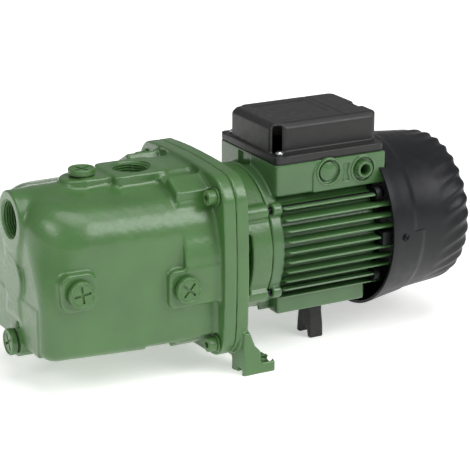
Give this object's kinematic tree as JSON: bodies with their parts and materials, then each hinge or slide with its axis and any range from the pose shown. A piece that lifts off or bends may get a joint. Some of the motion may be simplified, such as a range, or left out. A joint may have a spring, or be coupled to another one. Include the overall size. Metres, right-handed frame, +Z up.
{
  "type": "shallow well jet pump",
  "caption": "Self-priming shallow well jet pump: cast chamber with threaded suction and delivery ports, ejector inside, bracket with feet, finned motor, terminal box and ribbed fan cover.",
  "frame": {"origin": "on the floor, midway between the two foot bolt holes", "axes": "+X along the shaft from the suction end to the fan end, +Z up, -Y the side with the two side plugs"},
  "size_m": [0.4486, 0.176, 0.2098],
  "materials": {
    "body_enamel": "green enamel over cast iron",
    "casing_enamel": "green enamel over die-cast aluminium",
    "cover_plastic": "moulded black plastic, fine texture",
    "lid_plastic": "moulded black plastic",
    "rubber": "moulded rubber",
    "steel": "machined steel",
    "plated_steel": "bright plated steel",
    "brass": "machined brass",
    "engineering_plastic": "moulded glass-filled plastic",
    "ceramic": "lapped ceramic",
    "carbon": "lapped carbon graphite",
    "lamination": "stacked electrical steel",
    "copper": "varnished copper wire",
    "aluminium": "cast aluminium",
    "capacitor_plastic": "moulded white plastic"
  },
  "bodies": {
    "pump_stand": {"blanking_disc": "casing_enamel", "body_seal": "rubber", "capacitor": "capacitor_plastic", "diffuser": "engineering_plastic", "earth_screw": "brass", "ejector_nozzle": "brass", "fan_cover": "cover_plastic", "fan_cover_screws": "plated_steel", "flange_bolts": "body_enamel", "flange_washers": "body_enamel", "front_bearing_outer_ring": "steel", "leg_screw": "steel", "lid_gasket": "rubber", "lid_screws": "plated_steel", "motor_bracket": "body_enamel", "motor_casing": "casing_enamel", "pump_body": "body_enamel", "rear_bearing_outer_ring": "steel", "rear_shield": "aluminium", "seal_seat": "ceramic", "seal_seat_cup": "rubber", "stator_core": "lamination", "stator_windings": "copper", "support_leg": "rubber", "terminal_block": "engineering_plastic", "terminal_box_lid": "lid_plastic", "terminal_posts": "brass", "tie_rods": "steel", "venturi_tube": "engineering_plastic", "wave_washer": "steel"},
    "rotor": {"shaft": "steel", "impeller": "engineering_plastic", "impeller_key": "steel", "impeller_nut": "steel", "seal_face_ring": "carbon", "seal_spring": "steel", "front_bearing_inner_ring": "steel", "rear_bearing_inner_ring": "steel", "rotor_core": "lamination", "rotor_end_rings": "aluminium", "fan": "engineering_plastic", "fan_clip": "steel"},
    "front_cage": {"front_bearing_balls": "plated_steel", "front_bearing_cage": "steel"},
    "rear_cage": {"rear_bearing_balls": "plated_steel", "rear_bearing_cage": "steel"},
    "fill_plug_travel": {"fill_plug_seal": "rubber"},
    "fill_plug_turn": {"fill_plug": "body_enamel"},
    "drain_plug_travel": {"drain_plug_seal": "rubber"},
    "drain_plug_turn": {"drain_plug": "body_enamel"},
    "front_side_plug_travel": {"front_side_plug_seal": "rubber"},
    "front_side_plug_turn": {"front_side_plug": "body_enamel"},
    "rear_side_plug_travel": {"rear_side_plug_seal": "rubber"},
    "rear_side_plug_turn": {"rear_side_plug": "body_enamel"}
  },
  "joints": [
    {"name": "shaft_spin", "type": "hinge", "parent": "pump_stand", "child": "rotor", "pos_m": [0, 0, 0.1], "axis": [1, 0, 0], "continuous": true},
    {"name": "front_cage_spin", "type": "hinge", "parent": "pump_stand", "child": "front_cage", "pos_m": [0.009, 0, 0.1], "axis": [1, 0, 0], "continuous": true},
    {"name": "rear_cage_spin", "type": "hinge", "parent": "pump_stand", "child": "rear_cage", "pos_m": [0.128, 0, 0.1], "axis": [1, 0, 0], "continuous": true},
    {"name": "fill_plug_back_out", "type": "slide", "parent": "pump_stand", "child": "fill_plug_travel", "axis": [0, 0, 1], "range_m": [0, 0.00936]},
    {"name": "fill_plug_unscrew", "type": "hinge", "parent": "fill_plug_travel", "child": "fill_plug_turn", "pos_m": [-0.137, 0, 0.1786], "axis": [0, 0, 1], "range_deg": [0, 2521]},
    {"name": "drain_plug_back_out", "type": "slide", "parent": "pump_stand", "child": "drain_plug_travel", "axis": [-1, 0, 0], "range_m": [0, 0.00936]},
    {"name": "drain_plug_unscrew", "type": "hinge", "parent": "drain_plug_travel", "child": "drain_plug_turn", "pos_m": [-0.2051, 0, 0.037], "axis": [-1, 0, 0], "range_deg": [0, 2521]},
    {"name": "front_side_plug_back_out", "type": "slide", "parent": "pump_stand", "child": "front_side_plug_travel", "axis": [0, -1, 0], "range_m": [0, 0.00936]},
    {"name": "front_side_plug_unscrew", "type": "hinge", "parent": "front_side_plug_travel", "child": "front_side_plug_turn", "pos_m": [-0.173, -0.0751, 0.099], "axis": [0, -1, 0], "range_deg": [0, 2521]},
    {"name": "rear_side_plug_back_out", "type": "slide", "parent": "pump_stand", "child": "rear_side_plug_travel", "axis": [0, -1, 0], "range_m": [0, 0.00936]},
    {"name": "rear_side_plug_unscrew", "type": "hinge", "parent": "rear_side_plug_travel", "child": "rear_side_plug_turn", "pos_m": [-0.076, -0.0791, 0.088], "axis": [0, -1, 0], "range_deg": [0, 2521]}
  ],
  "couplings": [
    {"joint": "front_cage_spin", "follows": "shaft_spin", "ratio": 0.3877},
    {"joint": "rear_cage_spin", "follows": "shaft_spin", "ratio": 0.3877},
    {"joint": "fill_plug_unscrew", "follows": "fill_plug_back_out", "rad_per_m": 4699.5},
    {"joint": "drain_plug_unscrew", "follows": "drain_plug_back_out", "rad_per_m": 4699.5},
    {"joint": "front_side_plug_unscrew", "follows": "front_side_plug_back_out", "rad_per_m": 4699.5},
    {"joint": "rear_side_plug_unscrew", "follows": "rear_side_plug_back_out", "rad_per_m": 4699.5}
  ]
}
